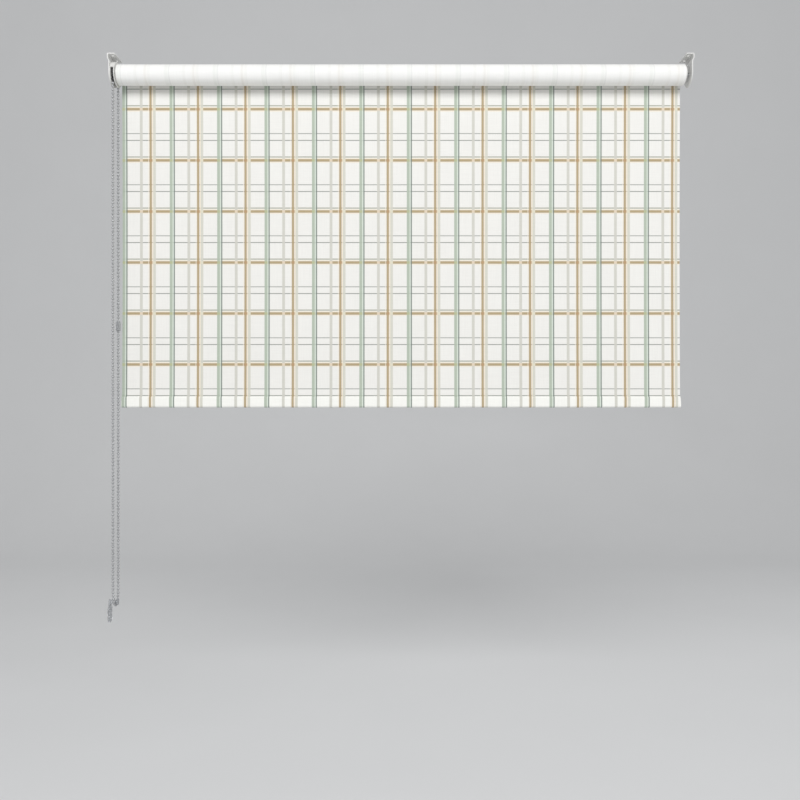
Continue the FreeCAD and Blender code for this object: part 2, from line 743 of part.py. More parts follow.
def rounded_path(points, station):
    """Straight runs joined by tangent arcs, each as large as its two runs allow."""
    spots = [FreeCAD.Vector(station, y, z) for y, z in points]
    edges = []
    start = spots[0]
    for before, corner, after in zip(spots, spots[1:], spots[2:]):
        arriving = (corner - before).normalize()
        leaving = (after - corner).normalize()
        turn = arriving.getAngle(leaving)
        reach = 0.45 * min(before.distanceToPoint(corner), corner.distanceToPoint(after))
        radius = reach / math.tan(turn / 2)
        first = corner - arriving * reach
        last = corner + leaving * reach
        inward = (leaving - arriving).normalize()
        middle = corner + inward * (radius / math.cos(turn / 2) - radius)
        edges.append(Part.LineSegment(start, first).toShape())
        edges.append(Part.Arc(first, middle, last).toShape())
        print(f"chain bend at z {corner.z:.1f}: radius {radius:.1f} mm")
        start = last
    edges.append(Part.LineSegment(start, spots[-1]).toShape())
    return Part.Wire(edges)


def bead_chain():
    """The chain from the guard's front mouth, round the hook and back, as a plain tube."""
    path = rounded_path(CHAIN_ROUTE, value(CHAIN_PLANE))
    radius = value("bead_size") / 2
    first = path.Edges[0]
    section = Part.Wire(Part.makeCircle(radius, first.valueAt(first.FirstParameter),
                                        FreeCAD.Vector(0, 0, -1)))
    tube = path.makePipeShell([section], True, True)
    wanted = math.pi * radius ** 2 * path.Length
    print(f"chain below the guard: length {path.Length:.1f} mm")
    print(f"tube volume {tube.Volume:.1f}, section times length {wanted:.1f}")
    if abs(tube.Volume / wanted - 1) > 0.01:
        raise RuntimeError("the chain's tube has the wrong volume")
    item = doc.addObject("Part::Feature", "bead_chain_tube")
    item.Shape = tube
    return item


def chain_wrap():
    """The chain inside the guard: down both sides of the sprocket and over its top."""
    arch = doc.addObject("Part::Torus", "wrap_arch")
    bind(arch, Radius1=CHAIN_RADIUS, Radius2="bead_size / 2", Angle3="180")
    put(arch, CHAIN_PLANE, turn=ALONG_X.multiply(
        FreeCAD.Rotation(FreeCAD.Vector(0, 0, 1), 90)))
    legs = []
    for word, side in (("front", -1), ("back", 1)):
        leg = doc.addObject("Part::Cylinder", f"wrap_leg_{word}")
        bind(leg, Radius="bead_size / 2", Height=CHAIN_MOUTH)
        put(leg, CHAIN_PLANE, f"{side} * {CHAIN_RADIUS}", f"0 - {CHAIN_MOUTH}")
        legs.append(leg)
    return on_axis(fuse("chain_wrap_solid", [arch] + legs))


def chain_connector():
    """A small clip round the back strand that joins the chain's two ends."""
    body = new_body("chain_connector")
    profile = sketch_on(body, "YZ_Plane", "connector_profile")
    inner = "(bead_size / 2 + run_gap)"
    half = "(connector_length / 2)"
    waist = "(connector_radius - 0.6)"
    outline(profile, [
        (inner, f"0 - {half}"), (waist, f"0 - {half}"),
        ("connector_radius", f"0 - {half} + 1.5"), ("connector_radius", f"{half} - 1.5"),
        (waist, half), (inner, half),
    ])
    turned = body.newObject("PartDesign::Revolution", "connector_turned")
    turned.Profile = profile
    turned.ReferenceAxis = (profile, ["V_Axis"])
    turned.Angle = 360
    doc.recompute()
    return put(body, CHAIN_PLANE, CHAIN_RADIUS, "0 - connector_drop")


# ---------------------------------------------------------------- wall hold-down

def chain_hold_down():
    """A figure-of-eight wall plate with two screw holes and a hook for the chain."""
    upper = disc("plate_upper", WALL, "plate_gauge", "plate_upper_radius",
                 z="0 - plate_upper_drop")
    lower = disc("plate_lower", WALL, "plate_gauge", "plate_lower_radius",
                 z="0 - plate_upper_drop - plate_hole_pitch")
    neck_half = "(hook_radius + 1.2)"
    neck = block("plate_neck", (WALL, f"0 - {neck_half}", "0 - plate_upper_drop + 4"),
                 ("plate_gauge", f"2 * {neck_half}", "plate_upper_drop - 4 - hook_drop"))
    head = disc("plate_head", WALL, "plate_gauge", neck_half, z="0 - hook_drop")
    lip_start = f"({CHAIN_PLANE} + bead_size / 2 + 0.5)"
    post = disc("hook_post", WALL, f"{lip_start} + hook_lip - {WALL}", "hook_radius",
                z="0 - hook_drop")
    lip = disc("hook_lip_disc", lip_start, "hook_lip", "hook_lip_radius",
               z="0 - hook_drop")
    solid = fuse("hold_down_solid", [upper, lower, neck, head, post, lip])
    holes = [
        disc(f"plate_hole_{word}", f"{WALL} - 1", "plate_gauge + 2", "plate_hole / 2", z=drop)
        for word, drop in (
            ("upper", "0 - plate_upper_drop"),
            ("lower", "0 - plate_upper_drop - plate_hole_pitch"),
        )
    ]
    plate = cut("hold_down_plate", solid, holes)
    return rounded("chain_hold_down_solid", plate,
                   (lip_start, f"{lip_start} + hook_lip"), "hook_lip_radius")


# ---------------------------------------------------------------- build, check and write

NODES = {
    "control_bracket": control_bracket(),
    "idle_bracket": idle_bracket(),
    "chain_guard": chain_guard(),
    "clutch_core": clutch_core(),
    "clutch_circlip": clutch_circlip(),
    "sprocket": sprocket(),
    "brake_springs": brake_springs(),
    "drive_crown": drive_crown(),
    "roller_tube": roller_tube(),
    "fabric_strip": fabric_strip(),
    "fabric_roll": fabric_roll(),
    "fabric_drop": fabric_drop(),
    "hem_pocket": hem_pocket(),
    "bottom_bar": bottom_bar(),
    "bar_cap_left": bar_cap("bar_cap_left", f"{FABRIC} + cap_flange", -1),
    "bar_cap_right": bar_cap("bar_cap_right", f"{FABRIC_END} - cap_flange", 1),
    "idle_plug": idle_plug(),
    "idle_bush": idle_bush(),
    "idle_pin": idle_pin(),
    "idle_spring": idle_spring(),
    "bead_chain": bead_chain(),
    "chain_wrap": chain_wrap(),
    "chain_connector": chain_connector(),
    "chain_hold_down": chain_hold_down(),
}

doc.recompute()
for item in doc.Objects:
    if "Invalid" in item.State or "Error" in item.State:
        raise RuntimeError(f"{item.Name} did not compute: {item.State}")
for node, item in NODES.items():
    item.Label = node
    if item.Shape.isNull() or not item.Shape.isValid() or not item.Shape.Solids:
        raise RuntimeError(f"{node} has no valid solid")

os.makedirs("parts", exist_ok=True)
for node, item in NODES.items():
    item.Shape.exportStep(f"parts/{node}.step")
    box = item.Shape.BoundBox
    print(f"{node}: {len(item.Shape.Solids)} solid, {item.Shape.Volume:.0f} mm3, "
          f"x {box.XMin:.1f}..{box.XMax:.1f} y {box.YMin:.1f}..{box.YMax:.1f} "
          f"z {box.ZMin:.1f}..{box.ZMax:.1f}")
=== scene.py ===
import json
import math

import bpy
import numpy as np
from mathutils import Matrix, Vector


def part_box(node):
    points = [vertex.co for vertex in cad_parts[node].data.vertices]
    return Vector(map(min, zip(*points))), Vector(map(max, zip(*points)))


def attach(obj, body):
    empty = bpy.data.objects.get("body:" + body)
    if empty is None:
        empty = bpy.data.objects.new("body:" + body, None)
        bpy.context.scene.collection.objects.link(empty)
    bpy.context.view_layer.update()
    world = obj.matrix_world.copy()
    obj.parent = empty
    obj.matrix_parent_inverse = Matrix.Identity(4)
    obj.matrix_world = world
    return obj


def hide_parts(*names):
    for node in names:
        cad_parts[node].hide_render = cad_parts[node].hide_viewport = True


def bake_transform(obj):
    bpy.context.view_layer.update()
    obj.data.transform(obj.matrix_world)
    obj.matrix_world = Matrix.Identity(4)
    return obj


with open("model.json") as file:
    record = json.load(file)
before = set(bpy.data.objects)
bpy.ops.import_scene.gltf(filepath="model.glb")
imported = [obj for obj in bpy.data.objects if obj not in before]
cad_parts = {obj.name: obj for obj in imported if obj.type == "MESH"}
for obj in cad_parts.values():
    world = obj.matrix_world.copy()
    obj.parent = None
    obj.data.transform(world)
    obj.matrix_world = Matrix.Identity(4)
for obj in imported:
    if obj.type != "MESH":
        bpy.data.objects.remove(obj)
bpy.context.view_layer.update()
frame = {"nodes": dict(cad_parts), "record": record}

# Lengths are in metres, and stripe tables are in millimetres.
MM = 0.001
X_AXIS = np.array((1.0, 0.0, 0.0))
CREASE = math.radians(50)

roll_low, roll_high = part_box("fabric_roll")
drop_low, drop_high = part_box("fabric_drop")
hem_low, hem_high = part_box("hem_pocket")
CLOTH_LEFT, CLOTH_RIGHT = roll_low.x, roll_high.x
AXIS_Z = (roll_low.z + roll_high.z) / 2
ROLL_RADIUS = roll_high.y
CLOTH_GAUGE = 0.45 * MM


# ---------------------------------------------------------------- mesh helpers

def make_piece(name, points, faces, materials, face_materials=None):
    """A smooth mesh object in the row frame, with its faces' materials by number. Edges
    sharper than CREASE stay sharp."""
    mesh = bpy.data.meshes.new(name)
    mesh.from_pydata([tuple(p) for p in points], [], faces)
    for material in materials:
        mesh.materials.append(material)
    if face_materials is not None:
        mesh.polygons.foreach_set("material_index", face_materials)
    mesh.polygons.foreach_set("use_smooth", [True] * len(mesh.polygons))
    mesh.update()
    mesh.set_sharp_from_angle(angle=CREASE)
    piece = bpy.data.objects.new(name, mesh)
    bpy.context.scene.collection.objects.link(piece)
    return piece


def slab(name, outer, inner, closed, materials, lengths):
    """A thin solid between two skins of points, outer[i][j] and inner[i][j].

    i runs along the cloth's width and j across it, round a loop if closed. The outer skin takes
    the first material, and the inner skin and rims the last. lengths[j] is how far along the
    cloth column j is, and goes into the UV map beside the point's x, both in metres.
    """
    outer, inner = np.asarray(outer), np.asarray(inner)
    rows, columns = outer.shape[:2]
    offset = rows * columns
    points = np.concatenate([outer.reshape(-1, 3), inner.reshape(-1, 3)])
    faces, kinds, spans = [], [], []
    last = len(materials) - 1
    steps = columns if closed else columns - 1

    def add(corners, kind, column, along):
        faces.append(corners)
        kinds.append(kind)
        spans.append([column + step for step in along])

    for i in range(rows - 1):
        for j in range(steps):
            k = (j + 1) % columns
            a, b = i * columns + j, i * columns + k
            c, d = (i + 1) * columns + k, (i + 1) * columns + j
            add((a, b, c, d), 0, j, (0, 1, 1, 0))
            add((offset + d, offset + c, offset + b, offset + a), last, j, (0, 1, 1, 0))
    for j in range(steps):
        k = (j + 1) % columns
        base = (rows - 1) * columns
        add((j, offset + j, offset + k, k), last, j, (0, 0, 1, 1))
        add((base + k, offset + base + k, offset + base + j, base + j), last, j, (1, 1, 0, 0))
    if not closed:
        for i in range(rows - 1):
            for j, turned in ((0, False), (columns - 1, True)):
                a, d = i * columns + j, (i + 1) * columns + j
                corners = (a, d, offset + d, offset + a)
                add(corners[::-1] if turned else corners, last, j, (0, 0, 0, 0))
    piece = make_piece(name, points, faces, materials, kinds)
    lengths = list(lengths) + [lengths[-1] * 2 - lengths[-2]]
    layer = piece.data.uv_layers.new(name="cloth")
    across = points[[v for face in faces for v in face], 0]
    along = np.array([lengths[n] for span in spans for n in span])
    layer.data.foreach_set("uv", np.stack([across, along], axis=1).ravel())
    return piece


def tube(name, path, radii, sides, material):
    """A tube round a path that never runs along X, with a radius at each of its points."""
    path, radii = np.asarray(path), np.asarray(radii)
    tangents = np.gradient(path, axis=0)
    tangents /= np.linalg.norm(tangents, axis=1)[:, None]
    first = np.cross(tangents, X_AXIS)
    first /= np.linalg.norm(first, axis=1)[:, None]
    second = np.cross(tangents, first)
    angles = np.linspace(0, 2 * math.pi, sides, endpoint=False)
    cosines, sines = np.cos(angles)[None, :, None], np.sin(angles)[None, :, None]
    ring = cosines * first[:, None] + sines * second[:, None]
    points = (path[:, None] + ring * radii[:, None, None]).reshape(-1, 3)
    faces = [
        (i * sides + j, i * sides + (j + 1) % sides,
         (i + 1) * sides + (j + 1) % sides, (i + 1) * sides + j)
        for i in range(len(path) - 1) for j in range(sides)
    ]
    faces.append(tuple(range(sides))[::-1])
    faces.append(tuple((len(path) - 1) * sides + j for j in range(sides)))
    return make_piece(name, points, faces, [material])


def spaced(line, step):
    """Points a step apart along a line, and how far along it they are."""
    line = np.asarray(line)
    along = np.concatenate([[0], np.cumsum(np.linalg.norm(np.diff(line, axis=0), axis=1))])
    at = np.linspace(0, along[-1], round(along[-1] / step) + 1)
    return np.stack([np.interp(at, along, line[:, k]) for k in range(3)], axis=1), at


def smoothstep(value, low, high):
    """0 at low and 1 at high, with a soft start and end."""
    share = np.clip((value - low) / (high - low), 0, 1)
    return share * share * (3 - 2 * share)


# ---------------------------------------------------------------- material helpers

def srgb(red, green, blue):
    """A display colour, 0 to 255, as linear RGBA."""
    parts = [c / 255 for c in (red, green, blue)]
    return (*[c / 12.92 if c <= 0.04045 else ((c + 0.055) / 1.055) ** 2.4 for c in parts], 1.0)


class Shader:
    """A material's nodes. Methods take sockets or plain values and return a socket."""

    def __init__(self, name):
        self.material = bpy.data.materials.new(name)
        self.material.use_nodes = True
        self.nodes = self.material.node_tree.nodes
        self.nodes.clear()

    def join(self, source, socket):
        """Links a socket, or sets a plain value."""
        if isinstance(source, bpy.types.NodeSocket):
            self.material.node_tree.links.new(source, socket)
        else:
            socket.default_value = source

    def node(self, kind, inputs=(), **settings):
        made = self.nodes.new(kind)
        for key, setting in settings.items():
            setattr(made, key, setting)
        for key, source in dict(inputs).items():
            self.join(source, made.inputs[key])
        return made

    def math(self, operation, a, b=0.0):
        return self.node("ShaderNodeMath", {0: a, 1: b}, operation=operation).outputs[0]

    def mix(self, share, a, b, blend="MIX"):
        inputs = {0: share, 6: a, 7: b}
        return self.node("ShaderNodeMix", inputs, data_type="RGBA", blend_type=blend).outputs[2]

    def remap(self, source, low, high, to_low, to_high):
        """A smooth step from one value to another."""
        inputs = {0: source, 1: low, 2: high, 3: to_low, 4: to_high}
        return self.node("ShaderNodeMapRange", inputs, interpolation_type="SMOOTHSTEP").outputs[0]

    def stretched(self, vector, scale):
        inputs = {0: vector, 1: scale}
        return self.node("ShaderNodeVectorMath", inputs, operation="MULTIPLY").outputs[0]

    def noise(self, vector, scale, detail=2.0):
        inputs = {"Vector": vector, "Scale": scale, "Detail": detail}
        return self.node("ShaderNodeTexNoise", inputs).outputs[0]

    def split(self, vector):
        return self.node("ShaderNodeSeparateXYZ", {0: vector}).outputs

    def bump(self, height, distance, strength=1.0):
        inputs = {"Height": height, "Distance": distance, "Strength": strength}
        return self.node("ShaderNodeBump", inputs).outputs[0]

    def edges(self, radius):
        """1 along sharp edges, and 0 on flat faces."""
        rounded = self.node("ShaderNodeBevel", {"Radius": radius}, samples=4).outputs[0]
        plain = self.node("ShaderNodeNewGeometry").outputs["Normal"]
        dot = self.node("ShaderNodeVectorMath", {0: rounded, 1: plain}, operation="DOT_PRODUCT")
        return self.remap(dot.outputs["Value"], 0.80, 0.99, 1.0, 0.0)

    def surface(self, **inputs):
        named = {key.replace("_", " "): source for key, source in inputs.items()}
        shader = self.node("ShaderNodeBsdfPrincipled", named)
        self.node("ShaderNodeOutputMaterial", {"Surface": shader.outputs[0]})
        return self.material


def finish(name, colour, roughness, grain, depth, metal=0.0, lines=(1, 1, 1), mottle=0.04,
           edge_wear_and_highlight=None, edge_reach=0.35 * MM, **extra):
    """A moulded, coated or drawn surface: grain of a size in metres, lines that stretch it,
    broad mottling, and edges turned to another colour: wear, and on the brackets also a painted
    highlight along the lit rims."""
    shader = Shader(name)
    place = shader.node("ShaderNodeTexCoord").outputs["Object"]
    fine = shader.noise(shader.stretched(place, lines), 1 / grain, 3.0)
    broad = shader.noise(place, 55.0, 3.0)
    dark = tuple(c * (1 - 2 * mottle) for c in colour[:3]) + (1.0,)
    tint = shader.mix(broad, dark, colour)
    tint = shader.mix(shader.remap(fine, 0.35, 0.75, 0.0, 0.35), tint, dark)
    # Edges turn to the given colour: wear, and on the brackets a painted highlight for their lit
    # rims.
    if edge_wear_and_highlight is not None:
        patchy = shader.remap(broad, 0.3, 0.5, 0.4, 1.0)
        rubbed_and_lit_edges = shader.math("MULTIPLY", shader.edges(edge_reach), patchy)
        tint = shader.mix(rubbed_and_lit_edges, tint, edge_wear_and_highlight)
    rough = shader.remap(fine, 0.25, 0.75, roughness * 0.85, roughness * 1.15)
    return shader.surface(
        Base_Color=tint, Roughness=rough, Metallic=metal,
        Normal=shader.bump(fine, depth), **extra,
    )


# ---------------------------------------------------------------- the cloth's pattern

# Each stripe is (centre, width, colour, strength), in millimetres. Centres are counted from
# PATTERN_LEFT for upright stripes, and from the hem's bottom for level ones.
PATTERN_LEFT = CLOTH_LEFT - 0.6 * MM
REPEAT_ACROSS = 82.07
REPEAT_UP = 88.33
GREEN, TAN, WARM_GREY, COOL_GREY = (2.8, 4.9), (49.5, 4.1), (33.3, 4.8), (56.1, 4.5)
LEVEL_TAN = (74.4, 4.5)
UPRIGHT_STRIPES = [
    (*GREEN, (176, 188, 172), 0.93),
    (6.1, 1.5, (212, 224, 210), 0.90),
    (8.2, 2.15, (124, 136, 128), 0.93),
    (*WARM_GREY, (206, 205, 196), 0.88),
    (45.9, 1.2, (244, 235, 218), 0.70),
    (*TAN, (178, 158, 122), 0.93),
    (53.1, 1.6, (240, 226, 202), 0.80),
    (*COOL_GREY, (210, 209, 197), 0.88),
]
LEVEL_STRIPES = [
    (20.6, 1.45, (140, 143, 138), 0.95),
    (32.3, 1.35, (150, 153, 148), 0.95),
    (70.9, 1.8, (240, 228, 206), 0.60),
    (*LEVEL_TAN, (178, 158, 122), 0.95),
    (77.5, 1.5, (236, 226, 203), 0.80),
    (80.3, 1.7, (156, 157, 141), 0.95),
]
# Where an upright stripe crosses the level tan one, the yarns mix to their own colour.
CROSSINGS = [
    (GREEN, (184, 188, 148), 0.85),
    (WARM_GREY, (229, 211, 186), 0.85),
    (TAN, (186, 152, 116), 0.85),
    (COOL_GREY, (226, 220, 198), 0.85),
]
STRIPE_EDGE = 0.35
WEAVE_PITCH = 0.55 * MM
WEAVE_DEPTH = 0.05 * MM
YARN = 0.9 * MM


def band(shader, coordinate, repeat, centre, width, strength=1.0):
    """How much a soft-edged stripe covers."""
    off = shader.math("PINGPONG", shader.math("SUBTRACT", coordinate, centre), repeat / 2)
    return shader.remap(off, width / 2 - STRIPE_EDGE, width / 2 + STRIPE_EDGE, strength, 0.0)


def stripes(shader, colour, coordinate, repeat, table, fade):
    """Paints stripes over a colour."""
    for centre, width, paint, strength in table:
        share = band(shader, coordinate, repeat, centre, width, strength * fade)
        colour = shader.mix(share, colour, srgb(*paint))
    return colour


def cloth(name, base, fade, reference=None, level=True):
    """Woven cloth. The pattern is placed by the reference object, so that it stays whole
    while the sheet shortens, and the weave follows the cloth's own UV map."""
    shader = Shader(name)
    place = shader.node("ShaderNodeTexCoord", object=reference).outputs["Object"]
    x, _, z = shader.split(place)
    thread = shader.node("ShaderNodeUVMap", uv_map="cloth").outputs[0]
    u, v, _ = shader.split(thread)
    warp = shader.noise(shader.stretched(thread, (1, 0.02, 1)), 1 / YARN)
    weft = shader.noise(shader.stretched(thread, (0.02, 1, 1)), 1 / YARN)
    slub = shader.math("ADD", warp, weft)
    broad = shader.noise(place, 9.0)
    colour = shader.mix(broad, srgb(*[c - 4 for c in base]), srgb(*base))
    across = shader.math("MULTIPLY", shader.math("SUBTRACT", x, PATTERN_LEFT), 1000.0)
    if level:
        up = shader.math("MULTIPLY", shader.math("SUBTRACT", z, hem_low.z), 1000.0)
        colour = stripes(shader, colour, up, REPEAT_UP, LEVEL_STRIPES, fade)
    colour = stripes(shader, colour, across, REPEAT_ACROSS, UPRIGHT_STRIPES, fade)
    if level:
        for (centre, width), paint, strength in CROSSINGS:
            upright = band(shader, across, REPEAT_ACROSS, centre, width)
            crossing = band(shader, up, REPEAT_UP, *LEVEL_TAN, strength * fade)
            share = shader.math("MULTIPLY", upright, crossing)
            colour = shader.mix(share, colour, srgb(*paint))
    yarn = shader.remap(slub, 0.7, 1.3, 0.955, 1.0)
    colour = shader.mix(1.0, colour, yarn, "MULTIPLY")
    over = [
        shader.math("SINE", shader.math("MULTIPLY", side, 2 * math.pi / WEAVE_PITCH))
        for side in (u, v)
    ]
    knots = shader.math("MULTIPLY", *over)
    height = shader.math("ADD", shader.math("MULTIPLY", knots, 0.5), slub)
    return shader.surface(
        Base_Color=colour, Roughness=shader.remap(slub, 0.6, 1.4, 0.74, 0.88),
        Normal=shader.bump(height, WEAVE_DEPTH, 0.35), Specular_IOR_Level=0.2,
        Sheen_Weight=0.08, Sheen_Roughness=0.5,
    )


# ---------------------------------------------------------------- hem

HEM_MIDDLE_Y = (hem_low.y + hem_high.y) / 2
HEM_THICK = (hem_high.y - hem_low.y) / 2
HEM_BEND = 6.4 * MM
HEM_CENTRE_Z = hem_low.z + HEM_THICK + HEM_BEND
SEAM_TOP = hem_high.z - HEM_CENTRE_Z
SEAM_HALF = CLOTH_GAUGE
SEAM_RISE = 1.6 * MM
HEM_SHOULDER = math.radians(38)
HEM_FLARE = 0.9 * MM
HEM_SWELL = 0.13 * MM


def hem_profile():
    """Half of the hem's section, from the bottom fold up to the seam, as (y, z)."""
    half = [
        (HEM_THICK * math.sin(a), -HEM_BEND - HEM_THICK * math.cos(a))
        for a in np.linspace(0, math.pi / 2, 9)
    ]
    half += [(HEM_THICK, z) for z in np.linspace(-HEM_BEND, HEM_BEND, 6)[1:]]
    half += [
        (HEM_THICK * math.cos(a), HEM_BEND + HEM_THICK * math.sin(a))
        for a in np.linspace(0, HEM_SHOULDER, 5)[1:]
    ]
    y, z = half[-1]
    rise = SEAM_TOP - SEAM_RISE
    for share in (0.4, 0.75, 1.0):
        half.append((y + (SEAM_HALF - y) * share, z + (rise - z) * share))
    half.append((SEAM_HALF, SEAM_TOP))
    return half


def ripple(x, phase):
    """A gentle unevenness along the cloth's width, within 1 either way."""
    return (
        0.5 * np.sin(x * 21 + phase) + 0.3 * np.sin(x * 47 + 2.1 * phase)
        + 0.2 * np.sin(x * 96 + 3.7 * phase)
    )


def build_hem(material):
    """The sleeve of cloth round the bottom bar, closed above it by the welded seam."""
    half = hem_profile()
    front = [(-y, z) for y, z in half[::-1]]
    loop = np.array(front[:-1] + half)
    tangent = np.roll(loop, -1, axis=0) - np.roll(loop, 1, axis=0)
    normal = np.stack([-tangent[:, 1], tangent[:, 0]], axis=1)
    normal /= np.linalg.norm(normal, axis=1)[:, None]
    # The inside stays a hair clear of the middle and of the seam's top, so the leaves don't cross.
    inside = loop + normal * CLOTH_GAUGE
    inside[:, 0] = np.where(loop[:, 0] < 0, np.minimum(inside[:, 0], -0.02 * MM),
                            np.maximum(inside[:, 0], 0.02 * MM))
    inside[:, 1] = np.minimum(inside[:, 1], SEAM_TOP - 0.05 * MM)
    outer, inner = [], []
    for x in np.linspace(CLOTH_LEFT, CLOTH_RIGHT, 241):
        end = min(x - CLOTH_LEFT, CLOTH_RIGHT - x)
        flare = math.exp(-end / (6 * MM)) * HEM_FLARE
        side = -1 if x < 0 else 1
        low = smoothstep(-loop[:, 1], -SEAM_TOP, HEM_BEND)
        belly = np.cos(np.clip(loop[:, 1] / (2.2 * HEM_BEND), -1, 1) * math.pi / 2)
        swell = HEM_SWELL * ripple(x, 0.8) * belly * np.sign(loop[:, 0])
        for skin, place in ((loop, outer), (inside, inner)):
            place.append(np.stack([
                x + side * flare * low,
                HEM_MIDDLE_Y + skin[:, 0] + swell,
                HEM_CENTRE_Z + skin[:, 1],
            ], axis=1))
    lengths = np.concatenate([[0], np.cumsum(np.linalg.norm(np.diff(loop, axis=0), axis=1))])
    return slab("hem_sleeve", outer, inner, True, [material], lengths)


# ---------------------------------------------------------------- hanging sheet

# With the blind up, the sheet folds over itself, and its belly keeps the layers apart.
SHEET_BELLY = 2.0 * MM
SHEET_RIPPLE = 0.16 * MM
SHEET_CURL = 0.5 * MM


def build_sheet(face, reverse):
    """The hanging cloth. Its top end follows the back of the roll and sinks into it."""
    front_y, back_y = drop_low.y, drop_high.y
    wrap = np.linspace(math.radians(55), 0, 12)[:-1]
    levels = np.linspace(drop_high.z, drop_low.z - 1.0 * MM, 90)
    front, back, lengths = [], [], []
    for angle in wrap:
        sunk = smoothstep(angle, 0, wrap[0])
        for skin, start, finish_at in ((front, front_y, ROLL_RADIUS - 0.6 * MM),
                                       (back, back_y, ROLL_RADIUS - 0.1 * MM)):
            radius = start + (finish_at - start) * sunk
            skin.append((radius * math.cos(angle), AXIS_Z + radius * math.sin(angle)))
        lengths.append(-ROLL_RADIUS * angle)
    for z in levels:
        front.append((front_y, z))
        back.append((back_y, z))
        lengths.append(drop_high.z - z)
    front, back = np.array(front), np.array(back)
    fall = np.clip((drop_high.z - front[:, 1]) / (drop_high.z - drop_low.z), 0, 1)
    middle = np.sin(fall * math.pi)
    outer, inner = [], []
    for x in np.linspace(CLOTH_LEFT, CLOTH_RIGHT, 161):
        end = min(x - CLOTH_LEFT, CLOTH_RIGHT - x)
        bow = (SHEET_BELLY + SHEET_RIPPLE * ripple(x, 2.3)) * middle
        curl = SHEET_CURL * math.exp(-end / (9 * MM)) * middle
        for skin, place in ((front, outer), (back, inner)):
            place.append(np.stack([
                np.full(len(skin), x), skin[:, 0] + bow + curl, skin[:, 1],
            ], axis=1))
    return slab("hanging_sheet", outer, inner, False, [face, reverse], lengths)


# ---------------------------------------------------------------- wound roll

def build_roll(material):
    """The wound cloth: a spiral of thin turns inside one full outer turn."""
    inner_radius = 14.05 * MM
    ring_inside = ROLL_RADIUS - CLOTH_GAUGE
    turns = (ring_inside - inner_radius) / CLOTH_GAUGE
    angles = np.linspace(0, 2 * math.pi * (turns - 1), round(turns * 72))
    radii = inner_radius + CLOTH_GAUGE * angles / (2 * math.pi)
    inset = 0.16 * MM * (1 + np.sin(angles * 0.37 + 1.3))
    outer, inner = [], []
    for side, x in ((1, CLOTH_LEFT), (-1, CLOTH_RIGHT)):
        for radius, place in ((radii + 0.40 * MM, outer), (radii, inner)):
            place.append(np.stack([
                x + side * inset, radius * np.cos(angles), AXIS_Z + radius * np.sin(angles),
            ], axis=1))
    spiral = slab("roll_turns", outer, inner, False, [material], radii * angles)

    around = np.linspace(0, 2 * math.pi, 128, endpoint=False)
    outer, inner = [], []
    for x in np.linspace(CLOTH_LEFT, CLOTH_RIGHT, 121):
        soft = 0.06 * MM * (1 + ripple(x, 4.4))
        for radius, place in ((ROLL_RADIUS - soft, outer), (ring_inside, inner)):
            place.append(np.stack([
                np.full(len(around), x), radius * np.cos(around), AXIS_Z + radius * np.sin(around),
            ], axis=1))
    ring = slab("roll_outer_turn", outer, inner, True, [material], ROLL_RADIUS * around)
    return spiral, ring


# ---------------------------------------------------------------- bead chain

CHAIN_X = (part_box("bead_chain")[0].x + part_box("bead_chain")[1].x) / 2
CHAIN_RADIUS = 13.37 * MM
MOUTH_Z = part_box("bead_chain")[1].z
BEAD = 4.5 * MM
PITCH = 6.0 * MM
LINK = 1.1 * MM

# The route of part.py, as (y, z), from the guard's front mouth round the hook to its back mouth,
# with one more point on each long straight run near its bend.
CHAIN_ROUTE = [
    (-0.01337, -0.046),
    (-0.01337, -0.892),
    (-0.01337, -0.919),
    (-0.0036, -0.9356),
    (0.0036, -0.9356),
    (0.01337, -0.925),
    (0.01337, -0.898),
    (0.01337, -0.046),
]


def spline_line(route, x):
    """The line of a smooth NURBS spline with these control points."""
    curve = bpy.data.curves.new("route", "CURVE")
    curve.dimensions = "3D"
    curve.resolution_u = 96
    spline = curve.splines.new("NURBS")
    spline.points.add(len(route) - 1)
    for point, (y, z) in zip(spline.points, route):
        point.co = (x, y, z, 1)
    spline.order_u = 3
    spline.use_endpoint_u = True
    carrier = bpy.data.objects.new("route", curve)
    mesh = bpy.data.meshes.new_from_object(carrier)
    line = [tuple(v.co) for v in mesh.vertices]
    bpy.data.meshes.remove(mesh)
    bpy.data.objects.remove(carrier)
    bpy.data.curves.remove(curve)
    return line


def beads(name, line, first, material):
    """Beads on a thin link along a line, the first bead's centre that far along it."""
    path, at = spaced(line, PITCH / 12)
    count = round((at[-1] - 2 * first) / PITCH)
    pitch = (at[-1] - 2 * first) / count
    off = np.abs((at - first + pitch / 2) % pitch - pitch / 2)
    ball = np.sqrt(np.maximum((BEAD / 2) ** 2 - off ** 2, 0))
    return tube(name, path, np.maximum(ball, LINK / 2), 12, material)


def build_chain(material, painted_shade_material):
    """The chain below the guard, as one cord, and the chain round the sprocket, which is painted
    near-black as shade inside the guard.
    """
    mouth_to_bead = 2 * MM
    line = spline_line(CHAIN_ROUTE, CHAIN_X)
    loop = beads("ball_chain", line, mouth_to_bead, material)
    arch = [
        (CHAIN_X, -CHAIN_RADIUS * math.cos(a), AXIS_Z + CHAIN_RADIUS * math.sin(a))
        for a in np.linspace(0, math.pi, 85)
    ]
    route = [(CHAIN_X, -CHAIN_RADIUS, MOUTH_Z), *arch, (CHAIN_X, CHAIN_RADIUS, MOUTH_Z)]
    wrap = beads("ball_chain_in_guard", route, PITCH - mouth_to_bead, painted_shade_material)
    return loop, line, wrap


# ---------------------------------------------------------------- springs

def coil_line(start, finish_at, radius, turns, phase):
    """A helix about the roll's axis, 48 points to a turn."""
    share = np.linspace(0, 1, round(turns * 48))
    angle = phase + share * turns * 2 * math.pi
    along = start + (finish_at - start) * share
    return np.stack([along, radius * np.cos(angle), AXIS_Z + radius * np.sin(angle)], axis=1)


